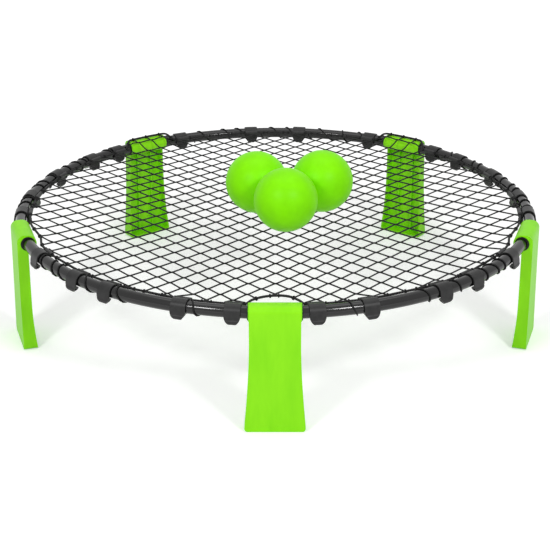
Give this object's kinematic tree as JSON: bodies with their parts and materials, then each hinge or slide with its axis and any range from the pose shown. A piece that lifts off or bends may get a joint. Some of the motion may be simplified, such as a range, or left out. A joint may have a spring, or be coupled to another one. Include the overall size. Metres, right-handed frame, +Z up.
{
  "type": "roundnet set",
  "caption": "Lawn game set: a low round tube rim on folding plastic legs, a trampoline-like net hooked inside it, and hollow rubber balls.",
  "frame": {"origin": "on the ground, on the vertical axis of the round rim, midway between the feet", "axes": "+Z up; -Y towards the leg called front, so +X is to its right when it faces the viewer; the other legs follow every 72 degrees"},
  "size_m": [0.9216, 0.9263, 0.3052],
  "materials": {
    "rim_tube": "gloss black powder coat",
    "joint_plastic": "satin black",
    "leg_plastic": "satin lime green",
    "hook_plastic": "satin charcoal",
    "border_cord": "braided black nylon",
    "net_cord": "knotted black nylon",
    "ball_rubber": "satin lime green",
    "valve_rubber": "matte black"
  },
  "bodies": {
    "rim": {"rim_tube_front_right": "rim_tube", "rim_tube_right": "rim_tube", "rim_tube_back": "rim_tube", "rim_tube_left": "rim_tube", "rim_tube_front_left": "rim_tube", "sleeve_front": "joint_plastic", "sleeve_right": "joint_plastic", "sleeve_back_right": "joint_plastic", "sleeve_back_left": "joint_plastic", "sleeve_left": "joint_plastic", "hook_front_right_1": "hook_plastic", "hook_front_right_2": "hook_plastic", "hook_front_right_3": "hook_plastic", "hook_front_right_4": "hook_plastic", "hook_front_right_5": "hook_plastic", "hook_right_1": "hook_plastic", "hook_right_2": "hook_plastic", "hook_right_3": "hook_plastic", "hook_right_4": "hook_plastic", "hook_right_5": "hook_plastic", "hook_back_1": "hook_plastic", "hook_back_2": "hook_plastic", "hook_back_3": "hook_plastic", "hook_back_4": "hook_plastic", "hook_left_1": "hook_plastic", "hook_left_2": "hook_plastic", "hook_left_3": "hook_plastic", "hook_left_4": "hook_plastic", "hook_left_5": "hook_plastic", "hook_front_left_1": "hook_plastic", "hook_front_left_2": "hook_plastic", "hook_front_left_3": "hook_plastic", "hook_front_left_4": "hook_plastic", "hook_front_left_5": "hook_plastic", "border_cord": "border_cord", "net": "net_cord"},
    "leg_front": {"leg_front": "leg_plastic"},
    "leg_right": {"leg_right": "leg_plastic"},
    "leg_back_right": {"leg_back_right": "leg_plastic"},
    "leg_back_left": {"leg_back_left": "leg_plastic"},
    "leg_left": {"leg_left": "leg_plastic"},
    "ball_front": {"ball_front": "ball_rubber", "ball_front_valve": "valve_rubber"},
    "ball_left": {"ball_left": "ball_rubber", "ball_left_valve": "valve_rubber"},
    "ball_right": {"ball_right": "ball_rubber", "ball_right_valve": "valve_rubber"}
  },
  "joints": [
    {"name": "leg_front_fold", "type": "hinge", "parent": "rim", "child": "leg_front", "pos_m": [0, -0.44503, 0.191], "axis": [1, 0, 0], "range_deg": [0, 90]},
    {"name": "leg_right_fold", "type": "hinge", "parent": "rim", "child": "leg_right", "pos_m": [0.42325, -0.13752, 0.191], "axis": [0.309, 0.9511, 0], "range_deg": [0, 90]},
    {"name": "leg_back_right_fold", "type": "hinge", "parent": "rim", "child": "leg_back_right", "pos_m": [0.26158, 0.36004, 0.191], "axis": [-0.809, 0.5878, 0], "range_deg": [0, 90]},
    {"name": "leg_back_left_fold", "type": "hinge", "parent": "rim", "child": "leg_back_left", "pos_m": [-0.26158, 0.36004, 0.191], "axis": [-0.809, -0.5878, 0], "range_deg": [0, 90]},
    {"name": "leg_left_fold", "type": "hinge", "parent": "rim", "child": "leg_left", "pos_m": [-0.42325, -0.13752, 0.191], "axis": [0.309, -0.9511, 0], "range_deg": [0, 90]},
    {"name": "ball_front_lift", "type": "slide", "parent": "rim", "child": "ball_front", "axis": [0, 0, 1], "range_m": [0, 0.3]},
    {"name": "ball_left_lift", "type": "slide", "parent": "rim", "child": "ball_left", "axis": [0, 0, 1], "range_m": [0, 0.3]},
    {"name": "ball_right_lift", "type": "slide", "parent": "rim", "child": "ball_right", "axis": [0, 0, 1], "range_m": [0, 0.3]}
  ]
}
